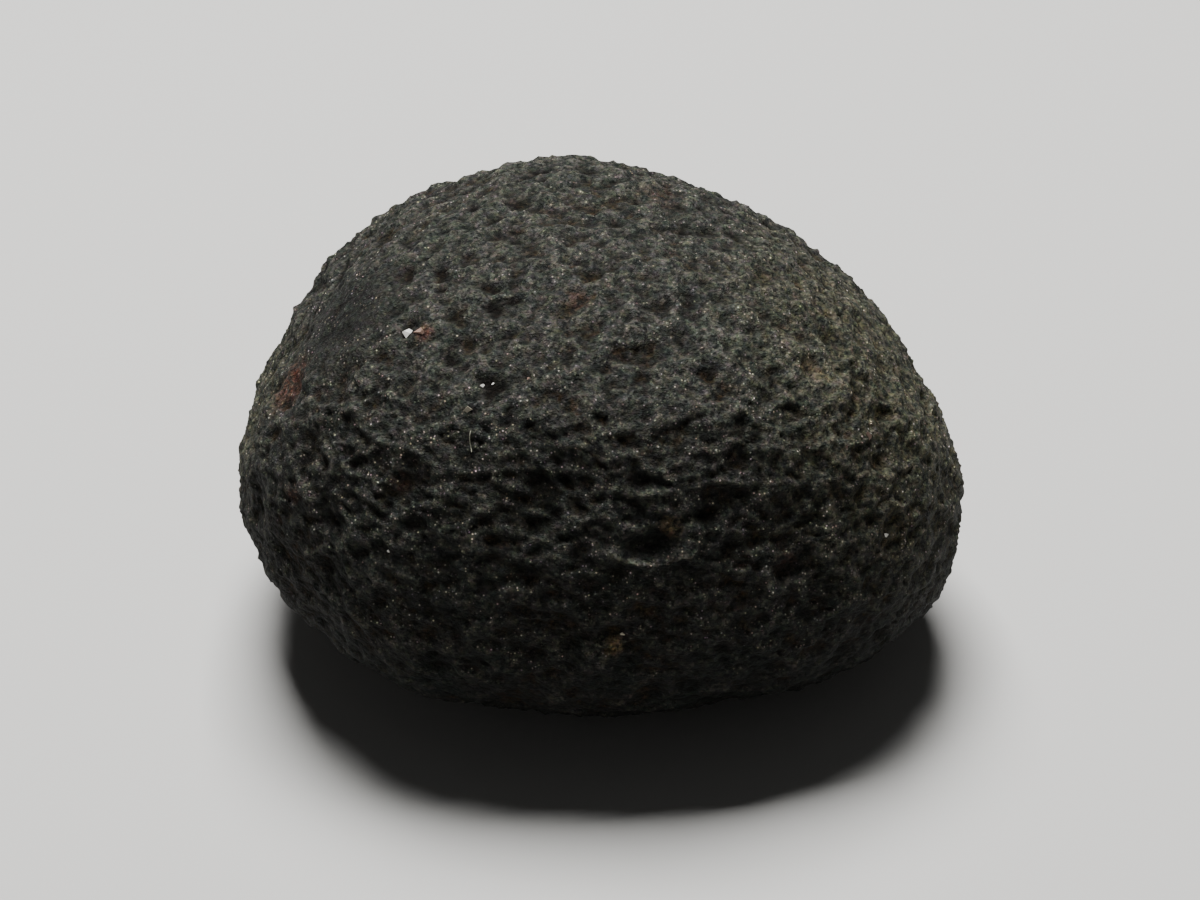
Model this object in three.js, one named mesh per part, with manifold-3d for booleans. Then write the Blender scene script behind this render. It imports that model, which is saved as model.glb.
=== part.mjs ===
// A saffordite nodule: one rounded lump of black volcanic glass, 28 mm across, with a skin of
// shallow pits and wrinkles all over, standing on the small flat spot under its middle.
// Millimetres. From the front, +X is to the right, +Y to the back and +Z up. The origin is on
// the surface that the stone stands on, under the middle of its width and depth.

import * as THREE from "three";
import { mergeVertices } from "three/addons/utils/BufferGeometryUtils.js";
import Module from "manifold-3d";

// Driving dimensions of the finished stone.
const WIDTH = 28;
const DEPTH = 23.4;
const HEIGHT = 17.8;

// How far the smooth lump reaches from its middle, the point that its directions are given from.
const REACH = { left: 14, right: 14, front: 10.4, back: 13, above: 11.7, below: 6.5 };
const SQUARENESS = 2.2; // 2 is an ellipsoid, and more is nearer to a box
const FLAT_SPOT_CUT = 0.4; // what the flat spot takes off the lowest point

const FACE_ROWS = 22; // the ball's 20 big faces are split into this many rows of triangles

// Broad forms of the lump. Directions are in degrees: azimuth 0 is the right, 90 the back, 180 the
// left and 270 the front, and elevation is above the level of the middle. A form fades out at its
// spread, in degrees, and a negative height is a flattened or sunk place.
const BROAD_FORMS = [
  { name: "left edge, drawn in", azimuth: 196, elevation: -4, spread: 40, height: -0.5 },
  { name: "left underside, drawn in", azimuth: 204, elevation: -30, spread: 45, height: -0.8 },
  { name: "front underside, drawn in", azimuth: 245, elevation: -48, spread: 50, height: -0.65 },
  { name: "right front underside, drawn in", azimuth: 308, elevation: -44, spread: 36, height: -0.3 },
  { name: "left shoulder, worn flat", azimuth: 170, elevation: 24, spread: 34, height: -0.45 },
  { name: "left of the crown, full", azimuth: 134, elevation: 44, spread: 34, height: 0.35 },
  { name: "crown, left of the middle", azimuth: 118, elevation: 52, spread: 45, height: 0.35 },
  { name: "crown, behind the middle", azimuth: 86, elevation: 54, spread: 34, height: 0.4 },
  { name: "right slope, worn flat", azimuth: 22, elevation: 28, spread: 32, height: -0.5 },
  { name: "right shoulder, full", azimuth: 40, elevation: 38, spread: 34, height: 0.2 },
  { name: "right hip, full", azimuth: 352, elevation: -2, spread: 46, height: 0.6 },
  { name: "right underside, full and low", azimuth: 345, elevation: -30, spread: 34, height: 0.4 },
];

// The lump's slow unevenness, a few waves laid over each other.
const WAVES = { count: 9, longest: 10, shortest: 5, height: 0.05 };

// Pits are shallow bowls with a crisp rim. Where two meet, the deeper one wins and leaves a ridge.
const PITS = {
  count: 640,
  narrowest: 1.2,
  widest: 2.1,
  longerUpTo: 1.7, // the longest pit's length over its width
  shallowest: 0.07, // a pit's depth over its width
  deepest: 0.2,
  shuffle: 14, // how far round the spiral a pit may be moved, in degrees
};
const SEED = 1129;

const DEGREE = Math.PI / 180;
const UP = new THREE.Vector3(0, 0, 1);

const STONE_MATERIAL = new THREE.MeshStandardMaterial({
  name: "weathered volcanic glass",
  color: "#25272a",
  roughness: 0.58,
  metalness: 0,
});

// A source of numbers from 0 to 1 that gives the same row of numbers each time.
function numbersFrom(seed) {
  let state = seed;
  return () => {
    state = (state + 0x6d2b79f5) | 0;
    let mixed = Math.imul(state ^ (state >>> 15), 1 | state);
    mixed = (mixed + Math.imul(mixed ^ (mixed >>> 7), 61 | mixed)) ^ mixed;
    return ((mixed ^ (mixed >>> 14)) >>> 0) / 2 ** 32;
  };
}

// The unit vector that points along an azimuth and elevation in degrees.
function towards(azimuth, elevation) {
  return new THREE.Vector3(
    Math.cos(elevation * DEGREE) * Math.cos(azimuth * DEGREE),
    Math.cos(elevation * DEGREE) * Math.sin(azimuth * DEGREE),
    Math.sin(elevation * DEGREE),
  );
}

// 1 at the middle of a broad form, falling smoothly to 0 at its spread.
function fade(angle, spread) {
  const share = Math.min(angle / (spread * DEGREE), 1);
  return (1 + Math.cos(share * Math.PI)) / 2;
}

// Where a direction on the ball meets the smooth skin, with the broad forms but no waves or pits.
function smoothSkin(onBall) {
  const sum = onBall.toArray().reduce((total, share) => total + Math.abs(share) ** SQUARENESS, 0);
  const place = new THREE.Vector3(
    onBall.x * (onBall.x > 0 ? REACH.right : REACH.left),
    onBall.y * (onBall.y > 0 ? REACH.back : REACH.front),
    onBall.z * (onBall.z > 0 ? REACH.above : REACH.below),
  ).multiplyScalar(sum ** (-1 / SQUARENESS));
  const forms = BROAD_FORMS.reduce((total, form) => {
    const angle = place.angleTo(towards(form.azimuth, form.elevation));
    return total + form.height * fade(angle, form.spread);
  }, 0);
  return place.setLength(place.length() + forms);
}

// Long waves that run through the lump in chance directions.
function chooseWaves(next) {
  return Array.from({ length: WAVES.count }, () => {
    const length = THREE.MathUtils.lerp(WAVES.shortest, WAVES.longest, next());
    const run = towards(360 * next(), Math.asin(2 * next() - 1) / DEGREE);
    return { run: run.multiplyScalar((2 * Math.PI) / length), start: 2 * Math.PI * next() };
  });
}

function unevenness(point, waves) {
  const sum = waves.reduce((total, wave) => total + Math.sin(wave.run.dot(point) + wave.start), 0);
  return sum * WAVES.height;
}

// Pits all over the lump, spaced on a spiral of even density and each moved a little off it.
function choosePits(next) {
  const goldenAngle = 180 * (3 - Math.sqrt(5));
  return Array.from({ length: PITS.count }, (_, i) => {
    const rise = 1 - (2 * (i + next())) / PITS.count;
    const turn = goldenAngle * i + PITS.shuffle * (next() - 0.5);
    const centre = smoothSkin(towards(turn, Math.asin(rise) / DEGREE));
    const outward = centre.clone().normalize();
    const along = outward.clone().cross(UP).normalize().applyAxisAngle(outward, Math.PI * next());
    const width = THREE.MathUtils.lerp(PITS.narrowest, PITS.widest, next() ** 2);
    return {
      centre,
      along,
      across: along.clone().cross(outward),
      halfWidth: width / 2,
      halfLength: (width / 2) * THREE.MathUtils.lerp(1, PITS.longerUpTo, next()),
      depth: width * THREE.MathUtils.lerp(PITS.shallowest, PITS.deepest, next()),
    };
  });
}

// How deep the pits go at a point of the smooth skin.
function pitDepth(point, pits) {
  const offset = new THREE.Vector3();
  return pits.reduce((deepest, pit) => {
    offset.subVectors(point, pit.centre);
    if (offset.length() > pit.halfLength) return deepest;
    const lengthways = offset.dot(pit.along) / pit.halfLength;
    const widthways = offset.dot(pit.across) / pit.halfWidth;
    return Math.max(deepest, pit.depth * (1 - lengthways ** 2 - widthways ** 2));
  }, 0);
}

// The whole lump as a closed skin of triangles round its middle.
function lumpGeometry() {
  const next = numbersFrom(SEED);
  const waves = chooseWaves(next);
  const pits = choosePits(next);
  const ball = new THREE.IcosahedronGeometry(1, FACE_ROWS - 1);
  ball.deleteAttribute("normal");
  ball.deleteAttribute("uv");
  const geometry = mergeVertices(ball);
  const places = geometry.getAttribute("position");
  for (let i = 0; i < places.count; i += 1) {
    const skin = smoothSkin(new THREE.Vector3().fromBufferAttribute(places, i).normalize());
    const change = unevenness(skin, waves) - pitDepth(skin, pits);
    places.setXYZ(i, ...skin.setLength(skin.length() + change));
  }
  return geometry;
}

// Brings the lump to its driving sizes, with the flat spot's level at z = 0.
function sizeAndPlace(geometry) {
  geometry.computeBoundingBox();
  const size = geometry.boundingBox.getSize(new THREE.Vector3());
  geometry.scale(WIDTH / size.x, DEPTH / size.y, (HEIGHT + FLAT_SPOT_CUT) / size.z);
  geometry.computeBoundingBox();
  const middle = geometry.boundingBox.getCenter(new THREE.Vector3());
  geometry.translate(-middle.x, -middle.y, -geometry.boundingBox.min.z - FLAT_SPOT_CUT);
  return geometry;
}

// The same surface as a closed solid that can be cut.
function toSolid(wasm, source) {
  const geometry = source.clone();
  geometry.deleteAttribute("normal");
  geometry.deleteAttribute("uv");
  const merged = mergeVertices(geometry);
  return new wasm.Manifold(
    new wasm.Mesh({
      numProp: 3,
      vertProperties: merged.getAttribute("position").array,
      triVerts: new Uint32Array(merged.index.array),
    }),
  );
}

function toGeometry(solid) {
  const { vertProperties, triVerts } = solid.getMesh();
  const geometry = new THREE.BufferGeometry();
  geometry.setAttribute("position", new THREE.BufferAttribute(vertProperties, 3));
  geometry.setIndex(new THREE.BufferAttribute(triVerts, 1));
  geometry.computeVertexNormals();
  return geometry;
}

// Takes off everything below z = 0, which leaves the flat spot that the stone stands on.
function cutFlatSpot(wasm, geometry) {
  const below = new THREE.BoxGeometry(2 * WIDTH, 2 * DEPTH, HEIGHT).translate(0, 0, -HEIGHT / 2);
  return toGeometry(toSolid(wasm, geometry).subtract(toSolid(wasm, below)));
}

const wasm = await Module();
wasm.setup();

const stone = new THREE.Mesh(cutFlatSpot(wasm, sizeAndPlace(lumpGeometry())), STONE_MATERIAL);
stone.name = "stone";

const saffordite = new THREE.Group();
saffordite.name = "saffordite";
saffordite.add(stone);

export default saffordite;
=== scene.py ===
"""The looks of a saffordite nodule: its skin of weathered volcanic glass with every fine pit and
wrinkle, the mineral grains lodged in the pits, a lint fibre, and a plain studio round it.

Metres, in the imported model's own frame. Sizes that read better in millimetres are given as a
number times MM."""

import math
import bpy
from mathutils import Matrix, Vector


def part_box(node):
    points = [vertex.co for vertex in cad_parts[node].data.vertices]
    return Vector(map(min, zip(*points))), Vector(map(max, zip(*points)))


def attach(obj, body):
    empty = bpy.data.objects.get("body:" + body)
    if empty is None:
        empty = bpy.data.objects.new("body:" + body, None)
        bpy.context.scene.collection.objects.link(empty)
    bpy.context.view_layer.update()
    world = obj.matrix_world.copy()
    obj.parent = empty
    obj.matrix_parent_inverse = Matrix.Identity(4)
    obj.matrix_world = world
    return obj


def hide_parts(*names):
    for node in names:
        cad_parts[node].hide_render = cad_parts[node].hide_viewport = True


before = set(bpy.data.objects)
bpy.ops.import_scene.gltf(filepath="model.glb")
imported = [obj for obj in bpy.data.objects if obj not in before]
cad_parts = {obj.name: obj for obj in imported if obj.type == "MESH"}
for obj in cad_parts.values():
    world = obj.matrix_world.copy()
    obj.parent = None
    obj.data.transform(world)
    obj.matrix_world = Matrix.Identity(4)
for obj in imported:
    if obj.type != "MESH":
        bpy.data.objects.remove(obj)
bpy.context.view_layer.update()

from types import SimpleNamespace

import bpy
from mathutils import Vector

bl_info = {
    "name": "Saffordite nodule",
    "version": (1, 0, 0),
    "blender": (4, 5, 0),
    "location": "View3D > Sidebar > Saffordite",
    "description": "Builds the pitted skin, lodged grains, lint and studio of a saffordite nodule",
    "category": "Add Mesh",
}

MM = 0.001
STONE_LOW, STONE_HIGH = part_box("stone")
STONE_MIDDLE = (STONE_LOW + STONE_HIGH) / 2
STONE_SIZE = STONE_HIGH - STONE_LOW

# The skin is a cube whose faces are halved this many times, which gives squares 0.14 mm wide. It
# is blown up past the stone, drawn back onto it, and smoothed until the solid's flat faces, 0.7 mm
# wide, have become one skin.
HALVINGS = 7
BLOWN_UP = 1.17
SMOOTHINGS = 36

# Grains lodged in the pits: azimuth and elevation from the stone's middle in degrees, with
# azimuth 270 at the front, then the width in millimetres, the height over the width and the kind
# of mineral.
GRAINS = [
    ("white grain", 212, 41, 0.54, 1.2, "quartz"),
    ("pink grain beside it", 215, 42.6, 0.5, 1.2, "pink feldspar"),
    ("pale grain", 239, 34, 0.36, 1.2, "pale feldspar"),
    ("twin speck", 239, 39, 0.16, 1.2, "quartz"),
    ("twin speck's partner", 241, 40, 0.14, 1.2, "quartz"),
    ("golden speck", 250, 43, 0.17, 1.2, "pink feldspar"),
    ("speck on the left", 232, 6, 0.18, 1.2, "quartz"),
    ("low speck", 274, -6, 0.2, 1.2, "pale feldspar"),
    ("pink sliver on the right", 328, 18, 0.24, 3, "pink feldspar"),
    ("pale speck on the right hip", 323.5, 2, 0.2, 1.2, "quartz"),
]

# A grain is a small ball made uneven and then broken flat. As shares of its radius: how uneven it
# is, how far from its middle the first break is and how much further each next one. The first
# break leans from the skin's own slope, the more the higher its last number is.
CHIP = {"uneven": 0.25, "breaks": 6, "first": 0.3, "further": 0.05, "lean": 0.4}

# A lint fibre: azimuth and elevation of its ends, and in millimetres its radius, how far its ends
# stand off the skin and how far over them the handles of its curve are, which makes it an arch.
LINT_ENDS = ((242.3, 26.6), (241.5, 30.8))
LINT = {"radius": 0.014, "off": 0.16, "arch": 0.2}

# Hollows that stand out from the even pitting: azimuth, elevation, width, height and depth in
# millimetres, and the strength of the lip from 0 to 1.
HOLLOWS = [
    ("wide crescent in the front", 280, 12, 2.9, 1.4, 0.4, 1),
    ("curved hollow over it", 278, 24, 1.7, 1.1, 0.34, 0.4),
    ("hollow right of it", 291, 16, 1.6, 1.0, 0.3, 0.35),
    ("low crater", 272, -5, 1.7, 1.0, 0.36, 0.6),
    ("hollow low on the left", 242, -13.5, 1.8, 1.0, 0.3, 0.4),
    ("hollow on the left", 236, 12, 1.8, 1.0, 0.28, 0.3),
    ("hollow on the right", 305, 8, 1.9, 1.0, 0.28, 0.35),
    ("brown hollow high on the right", 327, 34, 1.7, 1.1, 0.36, 0.4),
]

# The lip round each of these hollows: where its crest stands and how far it spreads, as squares of
# the share of the hollow's radius, its height in millimetres, and the share of it that is left on
# the hollow's upper side.
LIP = {"at": 1.15, "spread": 0.3, "height": 0.17, "above": 0.15}

# How far a pit's wall reaches from its centre, as a share of the distance between pits, and how
# many times as wide as high the pits are.
PIT_REACH = 0.8
PIT_SQUEEZE = 1.4

# How far noise bends the even pitting and the named hollows, in millimetres.
PITTING_BEND = 1.1
HOLLOWS_BEND = 0.5

# How many rounds of blurring give the mean surface that a place's hollowness is taken from.
MEAN_BLURS = 22

# Millimetres between the repeats of the noise that bends the pits, of the colour's broad tone and
# its mottle, and of the bright specks and their groups.
BEND_MM = 0.9
TONE_MM = 2
MOTTLE_MM = 0.3
SPECK_MM = 0.12
SPECK_GROUP_MM = 1.1

# Heights in millimetres of the finest etching, which is bump alone: its grit, and the dimples that
# the grit lies on, with how many dimples there are to a grain of grit.
GRIT_BUMP_MM = 0.12
DIMPLE_BUMP_MM = 0.05
DIMPLES_PER_GRIT = 0.45

# Volcanic glass bends light by this much. Its etched skin mirrors little, so the sheen is low.
GLASS_IOR = 1.49
GLASS_SHEEN = 0.12

# The smoother, darker place on the left shoulder: azimuth, elevation and radius in millimetres.
WORN_FACET = (193, 34, 3.4)

# Patches of colour on the skin: azimuth, elevation, radius in millimetres, strength from 0 to 1
# and the name of the colour in SkinColours.
PATCHES = [
    ("iron stain on the left edge", 195, 19, 1.4, 0.75, "rust"),
    ("clean dark glass of the worn facet", 193, 34, 3.3, 1, "glass"),
    ("rust by the white grain", 216, 43, 0.45, 0.6, "rust"),
    ("rust in a front pit", 231, 18, 0.6, 0.22, "rust"),
    ("rust low on the left", 212, 8, 0.5, 0.25, "rust"),
    ("rust near the crown", 257, 65, 0.6, 0.3, "rust"),
    ("rust behind the crown", 57, 64, 1.0, 0.25, "rust"),
    ("rust low on the right", 305, 4, 0.8, 0.16, "rust"),
    ("pale film on the right shoulder", 326, 33, 1.7, 0.45, "film"),
    ("pale film on the crown's right", 312, 48, 1.2, 0.35, "film"),
    ("yellowish film on the right hip", 325, 2, 1.4, 0.4, "dust"),
    ("ochre on the low crater's lip", 272.5, -8, 0.5, 0.6, "ochre"),
    ("ochre on the brown hollow's lip", 328, 31, 0.45, 0.6, "ochre"),
    ("brown in the hollow above it", 327, 34, 0.7, 0.7, "dust"),
    ("ochre on the arched rim", 284, 15, 0.5, 0.5, "ochre"),
    ("olive dust down the right side", 348, 18, 9, 0.5, "olive"),
    ("olive dust behind the left edge", 182, 4, 4.5, 0.35, "olive"),
]

# Lights: name, the setting in StudioSizes that holds the power, and in metres the width and place.
LIGHTS = [
    ("key", "key_power", 0.14, (-0.02, 0.085, 0.29)),
    ("fill", "fill_power", 0.3, (-0.12, -0.3, 0.16)),
]
AIR = {"colour": "#e6e6e6", "strength": 0.06}


def linear(code):
    """The linear colour of an sRGB hex value such as #26282a, with alpha 1."""
    shares = [int(code[i : i + 2], 16) / 255 for i in (1, 3, 5)]
    return (*[s / 12.92 if s <= 0.04045 else ((s + 0.055) / 1.055) ** 2.4 for s in shares], 1)


def add_node(tree, kind, inputs=None, **settings):
    """Adds a node, sets its settings, and links or fills its inputs. A node given as an input
    stands for its first output. A Map Range's inputs 0 to 4 are the value, the two ends that it
    runs between and the two that they become. A Mix's input 0 is its share, and then come the
    two that it mixes: 2 and 3 for numbers, 6 and 7 for colours."""
    made = tree.nodes.new(kind)
    for name, value in settings.items():
        setattr(made, name, value)
    for name, value in (inputs or {}).items():
        if isinstance(value, bpy.types.Node):
            value = value.outputs[0]
        if isinstance(value, bpy.types.NodeSocket):
            tree.links.new(value, made.inputs[name])
        else:
            made.inputs[name].default_value = value
    return made


def colour_property(name, description, code):
    return bpy.props.FloatVectorProperty(
        name=name,
        description=description,
        subtype="COLOR",
        size=4,
        min=0,
        max=1,
        default=linear(code),
    )


def length_property(name, description, millimetres):
    return bpy.props.FloatProperty(
        name=name, description=description, unit="LENGTH", min=0, default=millimetres * MM
    )


def power_property(name, description, watts):
    return bpy.props.FloatProperty(
        name=name, description=description, unit="POWER", default=watts
    )


class SkinSizes(bpy.types.PropertyGroup):
    """Sizes of the relief that is finer than the solid's own pits."""

    scoop_width: length_property("Scoop width", "Distance between the main pits", 0.9)
    scoop_depth: length_property("Scoop depth", "Depth of the deepest main pits", 0.165)
    pit_width: length_property("Pit width", "Distance between the small pits", 0.45)
    pit_depth: length_property("Pit depth", "Depth of the deepest small pits", 0.105)
    wrinkle_width: length_property("Wrinkle width", "Distance between wrinkles", 0.33)
    wrinkle_depth: length_property("Wrinkle depth", "Height of the wrinkles", 0.08)
    grit_width: length_property("Grit width", "Width of the finest etching, as bump", 0.08)


class SkinColours(bpy.types.PropertyGroup):
    """Colours of the skin and of what lies in its pits."""

    glass: colour_property("Glass", "Black volcanic glass", "#0e0e0d")
    tint: colour_property("Tint", "Greenish black of the glass in places", "#0b0f0d")
    # Partly wear, partly a painted highlight on the ridges.
    worn: colour_property("Worn", "Ridges worn greyer, with a painted highlight", "#3d3f38")
    # Painted glints: bright points that stand in for light caught by the etched glass.
    speck: colour_property("Speck", "Painted glints, tiny bright points on the etched glass", "#c9c6ba")
    # Partly dirt, partly painted shade: darker than the glass itself, laid in the pits.
    pit_dirt_and_shade: colour_property("Dirt and shade", "Brown dirt and painted shade in the pits", "#0c0a07")
    dust: colour_property("Dust", "Ochre dust in some pits", "#3d331f")
    ochre: colour_property("Ochre", "Yellow-brown earth on a few lips", "#6f6040")
    rust: colour_property("Rust", "Iron stain", "#4d2b1d")
    # Partly dust, partly painted light: lightens what faces up.
    settled_dust_and_light: colour_property("Settled dust and light", "Thin grey dust and painted light on what faces up", "#44463f")
    olive: colour_property("Olive dust", "Olive dust on the right", "#50513d")
    film: colour_property("Film", "Pale mineral film", "#5d5f56")
    # Painted highlight: the pale grey of the lit lower lips of the named hollows.
    lip: colour_property("Lip highlight", "Painted highlight on the lower lips of the larger hollows", "#707165")


class StudioSizes(bpy.types.PropertyGroup):
    """Where the camera stands, how strong the lights are, and the floor's colour."""

    look_down: bpy.props.FloatProperty(
        name="Look down", description="Angle below level", subtype="ANGLE", default=math.radians(36)
    )
    distance: length_property("Distance", "From the camera to the stone's middle", 126)
    aim_below: length_property("Aim below", "How far under the middle the camera aims", 1.03)
    lens: bpy.props.FloatProperty(name="Lens", description="Focal length in mm", default=100)
    key_power: power_property("Key", "Main light", 2.65)
    fill_power: power_property("Fill", "Front light", 0.03)
    floor: colour_property("Floor", "Plain pale floor", "#b9b8b5")


def deselect_all():
    bpy.ops.object.select_all(action="DESELECT")


def apply_modifier(piece, kind, **settings):
    """Adds a modifier to a piece, sets it up and applies it."""
    made = piece.modifiers.new(kind.title(), kind)
    for name, value in settings.items():
        setattr(made, name, value)
    bpy.context.view_layer.objects.active = piece
    bpy.ops.object.modifier_apply(modifier=made.name)


def on_skin(stone, azimuth, elevation):
    """The place where a line from the stone's middle comes out of its skin, and the normal there."""
    a, e = math.radians(azimuth), math.radians(elevation)
    out = Vector((math.cos(e) * math.cos(a), math.cos(e) * math.sin(a), math.sin(e)))
    hit, place, normal, _ = stone.ray_cast(STONE_MIDDLE + out * STONE_SIZE.length, -out)
    if not hit:
        raise RuntimeError(f"no skin at azimuth {azimuth}, elevation {elevation}")
    return place, normal


def bent_places(tree, place_mm):
    """The place in millimetres, bent by noise so that no pit is a neat polygon: once for the even
    pitting, and once less far for the named hollows."""
    noise = add_node(
        tree, "ShaderNodeTexNoise", {"Vector": place_mm, "Scale": 1 / BEND_MM, "Detail": 3}
    )
    centred = add_node(
        tree,
        "ShaderNodeVectorMath",
        {0: noise.outputs["Color"], 1: (0.5, 0.5, 0.5)},
        operation="SUBTRACT",
    )
    return [
        add_node(
            tree,
            "ShaderNodeVectorMath",
            {0: centred, 1: (bend,) * 3, 2: place_mm},
            operation="MULTIPLY_ADD",
        )
        for bend in (PITTING_BEND, HOLLOWS_BEND)
    ]


def pit_layer(tree, place_mm, width_mm, depth_mm):
    """Rounded pits that overlap, so that a crisp ridge stands where two meet. The centres lie at
    chance distances from the skin, which makes some pits small and shallow. Gives the depth in
    millimetres."""
    centre = add_node(tree, "ShaderNodeTexVoronoi", {"Vector": place_mm, "Scale": 1 / width_mm})
    bowl = add_node(tree, "ShaderNodeMath", {0: centre, 1: 2}, operation="POWER")
    return add_node(
        tree, "ShaderNodeMapRange", {0: bowl, 1: 0, 2: PIT_REACH**2, 3: depth_mm, 4: 0}
    )


def even_pitting(tree, bent, skin):
    """The depth in millimetres of the pits that lie all over the skin, and that of its wrinkles."""
    squeezed = add_node(
        tree, "ShaderNodeVectorMath", {0: bent, 1: (1, 1, PIT_SQUEEZE)}, operation="MULTIPLY"
    )
    scoops = pit_layer(tree, squeezed, skin.scoop_width / MM, skin.scoop_depth / MM)
    pits = pit_layer(tree, squeezed, skin.pit_width / MM, skin.pit_depth / MM)
    pitting = add_node(tree, "ShaderNodeMath", {0: scoops, 1: pits}, operation="ADD")
    noise = add_node(
        tree,
        "ShaderNodeTexNoise",
        {"Vector": squeezed, "Scale": MM / skin.wrinkle_width, "Detail": 4, "Roughness": 0.65},
    )
    wrinkles = add_node(
        tree, "ShaderNodeMath", {0: noise, 1: 2 * skin.wrinkle_depth / MM}, operation="MULTIPLY"
    )
    return pitting, wrinkles


def named_hollow(tree, stone, bent, row, depth, lips):
    """Sinks a hollow of HOLLOWS into the depth in millimetres, and raises a lip round it that is
    highest under it. Gives the new depth, and the lips with this one among them."""
    _, azimuth, elevation, width, height, deep, strength = row
    centre = on_skin(stone, azimuth, elevation)[0] / MM
    away = add_node(tree, "ShaderNodeVectorMath", {0: bent, 1: centre}, operation="SUBTRACT")
    shares = add_node(
        tree,
        "ShaderNodeVectorMath",
        {0: away, 1: (2 / width, 2 / width, 2 / height)},
        operation="MULTIPLY",
    )
    squared = add_node(
        tree, "ShaderNodeVectorMath", {0: shares, 1: shares}, operation="DOT_PRODUCT"
    ).outputs["Value"]
    bowl = add_node(tree, "ShaderNodeMapRange", {0: squared, 1: 0, 2: 1, 3: deep, 4: 0})
    sunk = add_node(tree, "ShaderNodeMath", {0: depth, 1: bowl}, operation="MAXIMUM")

    beyond = add_node(tree, "ShaderNodeMath", {0: squared, 1: LIP["at"]}, operation="SUBTRACT")
    off_crest = add_node(tree, "ShaderNodeMath", {0: beyond}, operation="ABSOLUTE")
    ring = add_node(
        tree, "ShaderNodeMapRange", {0: off_crest, 1: 0, 2: LIP["spread"], 3: 1, 4: 0}
    )
    above = add_node(tree, "ShaderNodeSeparateXYZ", {0: away}).outputs["Z"]
    lower = add_node(
        tree,
        "ShaderNodeMapRange",
        {0: above, 1: 0, 2: -height / 3, 3: LIP["above"] * strength, 4: strength},
    )
    lip = add_node(tree, "ShaderNodeMath", {0: ring, 1: lower}, operation="MULTIPLY")
    raised = add_node(tree, "ShaderNodeMath", {0: lip, 1: LIP["height"]}, operation="MULTIPLY")
    return (
        add_node(tree, "ShaderNodeMath", {0: sunk, 1: raised}, operation="SUBTRACT"),
        add_node(tree, "ShaderNodeMath", {0: lips, 1: lip}, operation="MAXIMUM"),
    )


def kept_shares(tree, stone, place_mm, normal):
    """How much of its depth the relief keeps at each place: less on the facet that wear has
    smoothed, more on what faces up, which rain has etched, and none on the flat spot."""
    azimuth, elevation, radius = WORN_FACET
    centre = on_skin(stone, azimuth, elevation)[0] / MM
    away = add_node(tree, "ShaderNodeVectorMath", {0: place_mm, 1: centre}, operation="DISTANCE")
    unworn = add_node(
        tree,
        "ShaderNodeMapRange",
        {0: away.outputs["Value"], 1: 0.4 * radius, 2: radius, 3: 0.4, 4: 1},
        interpolation_type="SMOOTHSTEP",
    )
    upward = add_node(tree, "ShaderNodeSeparateXYZ", {0: normal}).outputs["Z"]
    etched = add_node(tree, "ShaderNodeMapRange", {0: upward, 1: 0.3, 2: 0.9, 3: 1, 4: 1.3})
    height = add_node(tree, "ShaderNodeSeparateXYZ", {0: place_mm}).outputs["Z"]
    off_floor = add_node(
        tree, "ShaderNodeMapRange", {0: height, 1: 0.02, 2: 0.7}, interpolation_type="SMOOTHSTEP"
    )
    return unworn, etched, off_floor


def hollow_tenths(tree, place, normal):
    """How far each place lies under the mean of its surroundings, in tenths of a millimetre."""
    around = add_node(tree, "GeometryNodeBlurAttribute", data_type="FLOAT_VECTOR")
    tree.links.new(place.outputs[0], next(s for s in around.inputs if s.type == "VECTOR"))
    around.inputs["Iterations"].default_value = MEAN_BLURS
    mean_place = next(s for s in around.outputs if s.type == "VECTOR")
    to_mean = add_node(
        tree, "ShaderNodeVectorMath", {0: mean_place, 1: place}, operation="SUBTRACT"
    )
    under = add_node(
        tree, "ShaderNodeVectorMath", {0: to_mean, 1: normal}, operation="DOT_PRODUCT"
    )
    return add_node(
        tree, "ShaderNodeMath", {0: under.outputs["Value"], 1: 10 / MM}, operation="MULTIPLY"
    )


def relief_tree(stone, skin):
    """Geometry nodes that sink the pits, the named hollows and the wrinkles into the skin. They
    store how hollow each place is, and how far it is on a lip, for the dust and dirt, the painted
    shade in the pits and the painted highlight on the lips."""
    tree = bpy.data.node_groups.new("Pitted skin", "GeometryNodeTree")
    tree.interface.new_socket("Geometry", in_out="INPUT", socket_type="NodeSocketGeometry")
    tree.interface.new_socket("Geometry", in_out="OUTPUT", socket_type="NodeSocketGeometry")
    start = add_node(tree, "NodeGroupInput")
    place = add_node(tree, "GeometryNodeInputPosition")
    normal = add_node(tree, "GeometryNodeInputNormal")
    place_mm = add_node(
        tree, "ShaderNodeVectorMath", {0: place, "Scale": 1 / MM}, operation="SCALE"
    )

    bent_far, bent_little = bent_places(tree, place_mm)
    depth, wrinkles = even_pitting(tree, bent_far, skin)
    lips = 0
    for row in HOLLOWS:
        depth, lips = named_hollow(tree, stone, bent_little, row, depth, lips)
    depth = add_node(tree, "ShaderNodeMath", {0: depth, 1: wrinkles}, operation="ADD")
    for share in (*kept_shares(tree, stone, place_mm, normal), -MM):
        depth = add_node(tree, "ShaderNodeMath", {0: depth, 1: share}, operation="MULTIPLY")
    inward = add_node(tree, "ShaderNodeVectorMath", {0: normal, "Scale": depth}, operation="SCALE")
    skinned = add_node(tree, "GeometryNodeSetPosition", {"Geometry": start, "Offset": inward})

    for name, value in (("hollow", hollow_tenths(tree, place, normal)), ("lip", lips)):
        skinned = add_node(
            tree,
            "GeometryNodeStoreNamedAttribute",
            {"Geometry": skinned, "Name": name},
            domain="POINT",
        )
        shown = next(s for s in skinned.inputs if s.name == "Value" and s.enabled)
        tree.links.new(value.outputs[0], shown)
    add_node(tree, "NodeGroupOutput", {0: skinned})
    return tree


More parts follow.
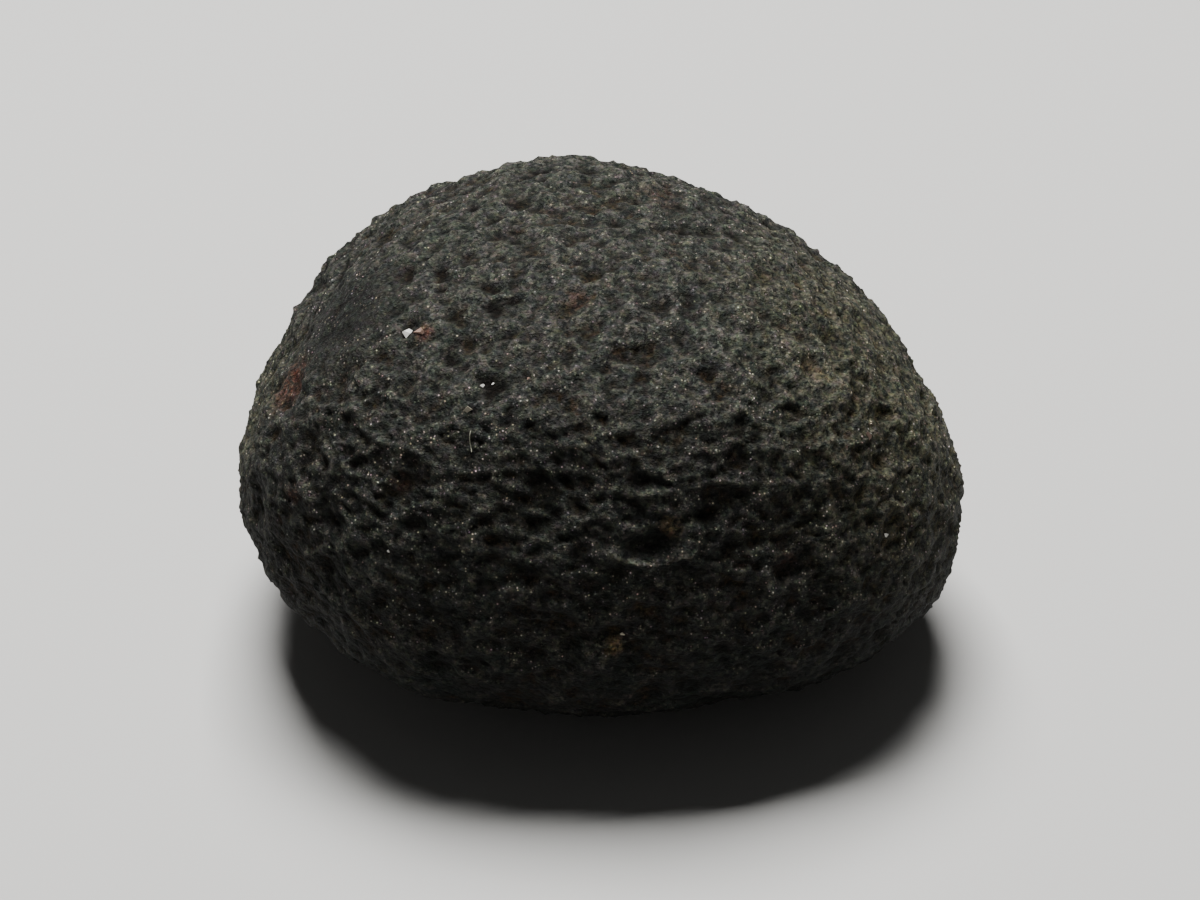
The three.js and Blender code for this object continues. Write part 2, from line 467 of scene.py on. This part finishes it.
def read_skin(tree):
    """What the skin's finish depends on at each place: the place in millimetres, how hollow it is
    and how far on a lip, how far it faces up, a broad tone and a fine mottle, the flecks of the
    mottle, how far it is in a pit, and how much wear and painted highlight it takes by facing up,
    which leaves the underside darker as painted shade."""
    here = SimpleNamespace()
    coordinates = add_node(tree, "ShaderNodeTexCoord")
    here.place_mm = add_node(
        tree,
        "ShaderNodeMapping",
        {"Vector": coordinates.outputs["Object"], "Scale": (1 / MM,) * 3},
    )
    here.hollow = add_node(tree, "ShaderNodeAttribute", attribute_name="hollow").outputs["Fac"]
    here.lip = add_node(tree, "ShaderNodeAttribute", attribute_name="lip").outputs["Fac"]
    facing = add_node(tree, "ShaderNodeSeparateXYZ", {0: coordinates.outputs["Normal"]})
    here.upward = facing.outputs["Z"]
    here.tone = add_node(
        tree, "ShaderNodeTexNoise", {"Vector": here.place_mm, "Scale": 1 / TONE_MM, "Detail": 3}
    )
    here.mottle = add_node(
        tree,
        "ShaderNodeTexNoise",
        {"Vector": here.place_mm, "Scale": 1 / MOTTLE_MM, "Detail": 5, "Roughness": 0.75},
    )
    here.fleck = add_node(tree, "ShaderNodeMapRange", {0: here.mottle, 1: 0.4, 2: 0.62})
    here.in_pit = add_node(tree, "ShaderNodeMapRange", {0: here.hollow, 1: -0.1, 2: 1.1})
    # Less on what faces down: keeps the worn grey and the painted lip highlight off the underside,
    # as painted shade.
    here.handled = add_node(
        tree, "ShaderNodeMapRange", {0: here.upward, 1: -0.5, 2: 0.3, 3: 0.15, 4: 1}
    )
    return here


def lay_over(tree, colour, over, *shares):
    """Lays one colour over another, as thickly as the product of the shares."""
    share = shares[0]
    for more in shares[1:]:
        share = add_node(tree, "ShaderNodeMath", {0: share, 1: more}, operation="MULTIPLY")
    return add_node(
        tree, "ShaderNodeMix", {0: share, 6: colour, 7: over}, data_type="RGBA"
    ).outputs[2]


def dusty_glass_and_painted_light(tree, here, colours):
    """The colour of the glass, worn and dusty as it is all over the stone, with painted shade in its
    pits, painted light on its top and painted highlights on its ridges and lips.
    """
    to_tint = add_node(tree, "ShaderNodeMapRange", {0: here.tone, 1: 0.42, 2: 0.62})
    colour = lay_over(tree, tuple(colours.glass), tuple(colours.tint), to_tint)

    # Ridges are greyer in flecks: partly wear, partly a painted highlight on raised places, less on
    # what faces down.
    ridge = add_node(tree, "ShaderNodeMapRange", {0: here.hollow, 1: 0.3, 2: -1.0})
    colour = lay_over(tree, colour, tuple(colours.worn), ridge, here.fleck, here.handled)

    # Thin grey dust and painted light lie on what faces up, thickest on the crown, so the top is
    # lighter.
    dust_and_light_facing_up = add_node(
        tree, "ShaderNodeMapRange", {0: here.upward, 1: -0.05, 2: 1.0, 3: 0, 4: 0.62}
    )
    thin = add_node(tree, "ShaderNodeMapRange", {0: here.mottle, 1: 0.35, 2: 0.65, 3: 0.1, 4: 1})
    colour = lay_over(tree, colour, tuple(colours.settled_dust_and_light), dust_and_light_facing_up, thin)

    # Dirt and painted shade darken the pits, the shade most where they face up, and ochre dust lies
    # in some of them.
    dirt_and_shade_facing_up = add_node(tree, "ShaderNodeMapRange", {0: here.upward, 1: 0.1, 2: 0.7, 3: 0.72, 4: 1})
    colour = lay_over(tree, colour, tuple(colours.pit_dirt_and_shade), here.in_pit, dirt_and_shade_facing_up)
    dusty = add_node(tree, "ShaderNodeMapRange", {0: here.tone, 1: 0.55, 2: 0.4, 3: 0, 4: 0.5})
    colour = lay_over(tree, colour, tuple(colours.dust), here.in_pit, dusty, here.fleck)

    # A painted highlight lies along the lower lips of the named hollows, where light from above
    # catches them.
    painted_lip_highlight = add_node(tree, "ShaderNodeMapRange", {0: here.lip, 1: 0.3, 2: 1, 3: 0, 4: 0.95})
    return lay_over(tree, colour, tuple(colours.lip), painted_lip_highlight, here.handled)


def patched(tree, stone, here, colours, colour):
    """Lays the patches of colour over the skin. Each fades out at its radius, is thinner in the
    pits and is broken up by the mottle."""
    on_top = add_node(tree, "ShaderNodeMapRange", {0: here.hollow, 1: -0.1, 2: 1.3, 3: 1, 4: 0.4})
    broken = add_node(tree, "ShaderNodeMapRange", {0: here.mottle, 1: 0.38, 2: 0.58})
    for _, azimuth, elevation, radius, strength, colour_name in PATCHES:
        centre = on_skin(stone, azimuth, elevation)[0] / MM
        away = add_node(
            tree, "ShaderNodeVectorMath", {0: here.place_mm, 1: centre}, operation="DISTANCE"
        )
        inside = add_node(
            tree,
            "ShaderNodeMapRange",
            {0: away.outputs["Value"], 1: radius, 2: radius * 0.3, 3: 0, 4: strength},
        )
        over = tuple(getattr(colours, colour_name))
        colour = lay_over(tree, colour, over, inside, on_top, broken)
    return colour


def glint_speck_share(tree, here, cell, chance):
    """Where the painted glints are: bright specks, one to a cell and 0.06 mm wide. Most are faint,
    they lie in groups, and they are fewest in pits, low down where less light falls, and under the
    crown's dust."""
    near = add_node(tree, "ShaderNodeMapRange", {0: cell, 1: 0.36, 2: 0.12})
    groups = add_node(
        tree,
        "ShaderNodeTexNoise",
        {"Vector": here.place_mm, "Scale": 1 / SPECK_GROUP_MM, "Detail": 3},
    )
    share = add_node(tree, "ShaderNodeMath", {0: chance.outputs["X"], 1: 2.3}, operation="POWER")
    for value, low, high, at_low, at_high in (
        (here.mottle, 0.42, 0.6, 0.1, 1),
        (here.hollow, 0.5, -0.2, 0.1, 1),
        (here.upward, 0, 0.55, 0.03, 1),
        (here.upward, 0.5, 1, 1, 0.35),
        (groups, 0.4, 0.62, 0.15, 1.7),
    ):
        kept = add_node(
            tree, "ShaderNodeMapRange", {0: value, 1: low, 2: high, 3: at_low, 4: at_high}
        )
        share = add_node(tree, "ShaderNodeMath", {0: share, 1: kept}, operation="MULTIPLY")
    return add_node(
        tree, "ShaderNodeMath", {0: near, 1: share}, operation="MULTIPLY", use_clamp=True
    )


def grainy(tree, here, chance, colour):
    """Makes each grain of the etching, 0.12 mm wide, lighter or darker than the next, and a little
    greener or browner by the mottle."""
    shade = add_node(
        tree, "ShaderNodeMapRange", {0: chance.outputs["Y"], 1: 0, 2: 1, 3: 0.38, 4: 1.8}
    )
    shaded = add_node(
        tree, "ShaderNodeVectorMath", {0: colour, "Scale": shade}, operation="SCALE"
    )
    tint = add_node(
        tree,
        "ShaderNodeVectorMath",
        {0: here.mottle.outputs["Color"], 1: (1.2, 1.1, 1.1), 2: (0.43, 0.45, 0.45)},
        operation="MULTIPLY_ADD",
    )
    return add_node(tree, "ShaderNodeVectorMath", {0: shaded, 1: tint}, operation="MULTIPLY")


def etching_bump(tree, here, skin):
    """Fine etching: grit on small dimples, a sparkle a pixel or two across."""
    per_mm = MM / skin.grit_width
    grit = add_node(
        tree,
        "ShaderNodeTexNoise",
        {"Vector": here.place_mm, "Scale": per_mm, "Detail": 3, "Roughness": 0.65},
    )
    dimples = add_node(
        tree, "ShaderNodeTexVoronoi", {"Vector": here.place_mm, "Scale": DIMPLES_PER_GRIT * per_mm}
    )
    dimpled = add_node(
        tree,
        "ShaderNodeBump",
        {"Strength": 1, "Distance": DIMPLE_BUMP_MM * MM, "Height": dimples},
    )
    return add_node(
        tree,
        "ShaderNodeBump",
        {"Strength": 1, "Distance": GRIT_BUMP_MM * MM, "Height": grit, "Normal": dimpled},
    )


def weathered_glass(stone, skin, colours):
    """Natural volcanic glass, cooled quickly and then etched by weather into a satin skin. It is
    black, gives a broad soft sheen, and its fine etching breaks the highlight into sparkle, to which
    painted glint specks are added in its colour."""
    material = bpy.data.materials.new("Weathered volcanic glass")
    material.use_nodes = True
    tree = material.node_tree
    tree.nodes.clear()
    here = read_skin(tree)
    cell = add_node(tree, "ShaderNodeTexVoronoi", {"Vector": here.place_mm, "Scale": 1 / SPECK_MM})
    chance = add_node(tree, "ShaderNodeSeparateXYZ", {0: cell.outputs["Color"]})

    colour = patched(tree, stone, here, colours, dusty_glass_and_painted_light(tree, here, colours))
    speck = glint_speck_share(tree, here, cell, chance)
    # The painted glint specks' tints differ a little, by the cell.
    glint_speck_colour = lay_over(tree, tuple(colours.speck), cell.outputs["Color"], 0.2)
    colour = grainy(tree, here, chance, lay_over(tree, colour, glint_speck_colour, speck))

    # Satin where it is clean, matt where dust lies, and glossier on the painted glint specks.
    clean = add_node(tree, "ShaderNodeMapRange", {0: here.mottle, 1: 0.3, 2: 0.7, 3: 0.55, 4: 0.75})
    dull = add_node(tree, "ShaderNodeMix", {0: here.in_pit, 2: clean, 3: 0.95}, data_type="FLOAT")
    roughness = add_node(tree, "ShaderNodeMix", {0: speck, 2: dull, 3: 0.3}, data_type="FLOAT")
    surface = add_node(
        tree,
        "ShaderNodeBsdfPrincipled",
        {
            "Base Color": colour,
            "Roughness": roughness,
            "IOR": GLASS_IOR,
            "Specular IOR Level": GLASS_SHEEN,
            "Normal": etching_bump(tree, here, skin),
        },
    )
    add_node(tree, "ShaderNodeOutputMaterial", {"Surface": surface})
    return material


def mineral_grain(name, code, ior, roughness):
    """A chip of a pale mineral, broken and water-worn: frosted faces, clouded every 0.11 mm."""
    material = bpy.data.materials.new(name)
    material.use_nodes = True
    tree = material.node_tree
    tree.nodes.clear()
    place = add_node(tree, "ShaderNodeTexCoord").outputs["Object"]
    place_mm = add_node(tree, "ShaderNodeMapping", {"Vector": place, "Scale": (1 / MM,) * 3})
    cloud = add_node(tree, "ShaderNodeTexNoise", {"Vector": place_mm, "Scale": 9, "Detail": 2})
    shade = add_node(tree, "ShaderNodeMapRange", {0: cloud, 1: 0.3, 2: 0.7, 3: 0.75, 4: 1})
    tinted = add_node(
        tree, "ShaderNodeVectorMath", {0: linear(code)[:3], "Scale": shade}, operation="SCALE"
    )
    frost = add_node(
        tree, "ShaderNodeBump", {"Strength": 0.5, "Distance": 0.01 * MM, "Height": cloud}
    )
    surface = add_node(
        tree,
        "ShaderNodeBsdfPrincipled",
        {"Base Color": tinted, "Roughness": roughness, "IOR": ior, "Normal": frost},
    )
    add_node(tree, "ShaderNodeOutputMaterial", {"Surface": surface})
    return material


def plain_material(name, colour, roughness):
    """A matt material of one colour."""
    material = bpy.data.materials.new(name)
    material.use_nodes = True
    surface = material.node_tree.nodes["Principled BSDF"]
    surface.inputs["Base Color"].default_value = colour
    surface.inputs["Roughness"].default_value = roughness
    return material


def broken_chip(place, normal, half, tall, seed):
    """Breaks a small ball of the given half width into a chip with flat faces at chance angles,
    the first of them nearly level with the skin that the chip lies in."""
    deselect_all()
    bpy.ops.mesh.primitive_ico_sphere_add(subdivisions=2, radius=half, location=place)
    bpy.ops.object.mode_set(mode="EDIT")
    bpy.ops.transform.vertex_random(offset=half * CHIP["uneven"], seed=seed)
    for turn in range(CHIP["breaks"]):
        angle = 2.4 * turn + 1.7 * seed
        side = Vector((math.cos(angle), math.sin(angle), math.sin(3 * angle))).normalized()
        if turn == 0:
            side = (normal + CHIP["lean"] * side).normalized()
        bpy.ops.mesh.select_all(action="SELECT")
        bpy.ops.mesh.bisect(
            plane_co=place + side * half * (CHIP["first"] + CHIP["further"] * turn),
            plane_no=side,
            use_fill=True,
            clear_outer=True,
            threshold=half * 0.001,
        )
    bpy.ops.mesh.select_all(action="SELECT")
    bpy.ops.mesh.normals_make_consistent(inside=False)
    bpy.ops.transform.resize(value=(1.2, 0.85, 0.85 * tall), center_override=place)
    bpy.ops.object.mode_set(mode="OBJECT")
    return bpy.context.object


class SAFFORDITE_OT_stone(bpy.types.Operator):
    """Models the stone's skin from a fine ball drawn onto the solid, and gives it its finish"""

    bl_idname = "saffordite.stone"
    bl_label = "Stone"

    def execute(self, context):
        skin = context.scene.saffordite_skin
        deselect_all()
        bpy.ops.mesh.primitive_cube_add(size=1, location=STONE_MIDDLE, scale=STONE_SIZE)
        stone = context.object
        stone.name = "nodule"
        bpy.ops.object.transform_apply(location=True, rotation=True, scale=True)
        apply_modifier(stone, "SUBSURF", levels=HALVINGS, render_levels=HALVINGS)
        reach = STONE_SIZE.x / stone.dimensions.x
        bpy.ops.object.mode_set(mode="EDIT")
        bpy.ops.mesh.select_all(action="SELECT")
        bpy.ops.transform.resize(value=(reach * BLOWN_UP,) * 3, center_override=STONE_MIDDLE)
        bpy.ops.object.mode_set(mode="OBJECT")
        apply_modifier(
            stone,
            "SHRINKWRAP",
            target=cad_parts["stone"],
            wrap_method="PROJECT",
            use_negative_direction=True,
            use_positive_direction=False,
        )
        apply_modifier(stone, "SMOOTH", factor=0.5, iterations=SMOOTHINGS)
        apply_modifier(stone, "NODES", node_group=relief_tree(stone, skin))
        bpy.ops.object.shade_smooth()
        finish = weathered_glass(stone, skin, context.scene.saffordite_colours)
        stone.data.materials.append(finish)
        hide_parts("stone")
        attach(stone, "root")
        return {"FINISHED"}


class SAFFORDITE_OT_lodged_grains(bpy.types.Operator):
    """Models the mineral grains that are lodged in the stone's pits"""

    bl_idname = "saffordite.lodged_grains"
    bl_label = "Lodged grains"

    def execute(self, context):
        stone = bpy.data.objects["nodule"]
        finishes = {
            "quartz": mineral_grain("Broken quartz", "#d9d6cf", 1.544, 0.35),
            "pink feldspar": mineral_grain("Broken pink feldspar", "#94786a", 1.53, 0.5),
            "pale feldspar": mineral_grain("Weathered pale feldspar", "#9a9380", 1.53, 0.6),
        }
        chips = []
        for seed, (_, azimuth, elevation, width, tall, kind) in enumerate(GRAINS):
            place, normal = on_skin(stone, azimuth, elevation)
            chip = broken_chip(place, normal, width * MM / 2, tall, seed)
            chip.data.materials.append(finishes[kind])
            chips.append(chip)
        deselect_all()
        for chip in chips:
            chip.select_set(True)
        context.view_layer.objects.active = chips[0]
        bpy.ops.object.join()
        grains = context.object
        grains.name = "lodged_grains"
        bpy.ops.object.transform_apply(location=True, rotation=True, scale=True)
        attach(grains, "root")
        return {"FINISHED"}


class SAFFORDITE_OT_lint(bpy.types.Operator):
    """Lays a fine lint fibre over the front of the stone"""

    bl_idname = "saffordite.lint"
    bl_label = "Lint"

    def execute(self, context):
        stone = bpy.data.objects["nodule"]
        deselect_all()
        bpy.ops.curve.primitive_bezier_curve_add()
        curve = context.object
        curve.name = "lint_fibre"
        ends = [on_skin(stone, azimuth, elevation) for azimuth, elevation in LINT_ENDS]
        across = (ends[1][0] - ends[0][0]) * 0.3
        for point, (place, normal) in zip(curve.data.splines[0].bezier_points, ends):
            end = place + normal * LINT["off"] * MM
            arch = normal * LINT["arch"] * MM
            point.co = end
            point.handle_left = end - across + arch
            point.handle_right = end + across + arch
        curve.data.bevel_depth = LINT["radius"] * MM
        curve.data.bevel_resolution = 2
        curve.data.use_fill_caps = True
        curve.location = (0, 0, 0)
        bpy.ops.object.convert(target="MESH")
        lint = context.object
        # Spun cotton, dull and off-white.
        lint.data.materials.append(plain_material("Cotton fibre", linear("#908f7e"), 0.7))
        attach(lint, "root")
        return {"FINISHED"}


class SAFFORDITE_OT_studio(bpy.types.Operator):
    """Adds the pale floor, the soft lights and the camera"""

    bl_idname = "saffordite.studio"
    bl_label = "Studio"

    def execute(self, context):
        studio = context.scene.saffordite_studio
        deselect_all()
        bpy.ops.mesh.primitive_plane_add(size=3)
        floor = context.object
        floor.name = "floor"
        # Uncoated card, pale and matt.
        floor.data.materials.append(plain_material("Pale matt card", studio.floor, 0.85))

        for name, power_name, width, place in LIGHTS:
            bpy.ops.object.light_add(type="AREA", location=place)
            light = context.object
            light.name = name
            light.data.energy = getattr(studio, power_name)
            light.data.size = width
            towards_stone = STONE_MIDDLE - Vector(place)
            light.rotation_euler = towards_stone.to_track_quat("-Z", "Y").to_euler()

        world = context.scene.world or bpy.data.worlds.new("Studio air")
        context.scene.world = world
        world.use_nodes = True
        air = world.node_tree.nodes["Background"]
        air.inputs["Color"].default_value = linear(AIR["colour"])
        air.inputs["Strength"].default_value = AIR["strength"]

        down = studio.look_down
        ahead = Vector((0, math.cos(down), -math.sin(down)))
        upward = Vector((0, math.sin(down), math.cos(down)))
        aim = STONE_MIDDLE - upward * studio.aim_below
        bpy.ops.object.camera_add(location=aim - ahead * studio.distance)
        camera = context.object
        camera.rotation_euler = ahead.to_track_quat("-Z", "Y").to_euler()
        camera.data.lens = studio.lens
        camera.data.clip_start = 5 * MM
        context.scene.camera = camera
        return {"FINISHED"}


class SAFFORDITE_PT_sidebar(bpy.types.Panel):
    """Lists the sizes, the colours and the steps of the stone"""

    bl_label = "Saffordite nodule"
    bl_space_type = "VIEW_3D"
    bl_region_type = "UI"
    bl_category = "Saffordite"

    def draw(self, context):
        for group in GROUPS:
            settings = getattr(context.scene, group)
            box = self.layout.box()
            for name in settings.__annotations__:
                box.prop(settings, name)
        for step in STEPS:
            self.layout.operator(step.bl_idname)


GROUPS = {
    "saffordite_skin": SkinSizes,
    "saffordite_colours": SkinColours,
    "saffordite_studio": StudioSizes,
}
STEPS = (SAFFORDITE_OT_studio, SAFFORDITE_OT_stone, SAFFORDITE_OT_lodged_grains, SAFFORDITE_OT_lint)


def register():
    for made in (*GROUPS.values(), *STEPS, SAFFORDITE_PT_sidebar):
        bpy.utils.register_class(made)
    for name, group in GROUPS.items():
        setattr(bpy.types.Scene, name, bpy.props.PointerProperty(type=group))


def unregister():
    for name in GROUPS:
        delattr(bpy.types.Scene, name)
    for made in reversed((*GROUPS.values(), *STEPS, SAFFORDITE_PT_sidebar)):
        bpy.utils.unregister_class(made)


def main():
    register()
    bpy.ops.saffordite.studio()
    bpy.ops.saffordite.stone()
    bpy.ops.saffordite.lodged_grains()
    bpy.ops.saffordite.lint()


if __name__ == "__main__":
    main()
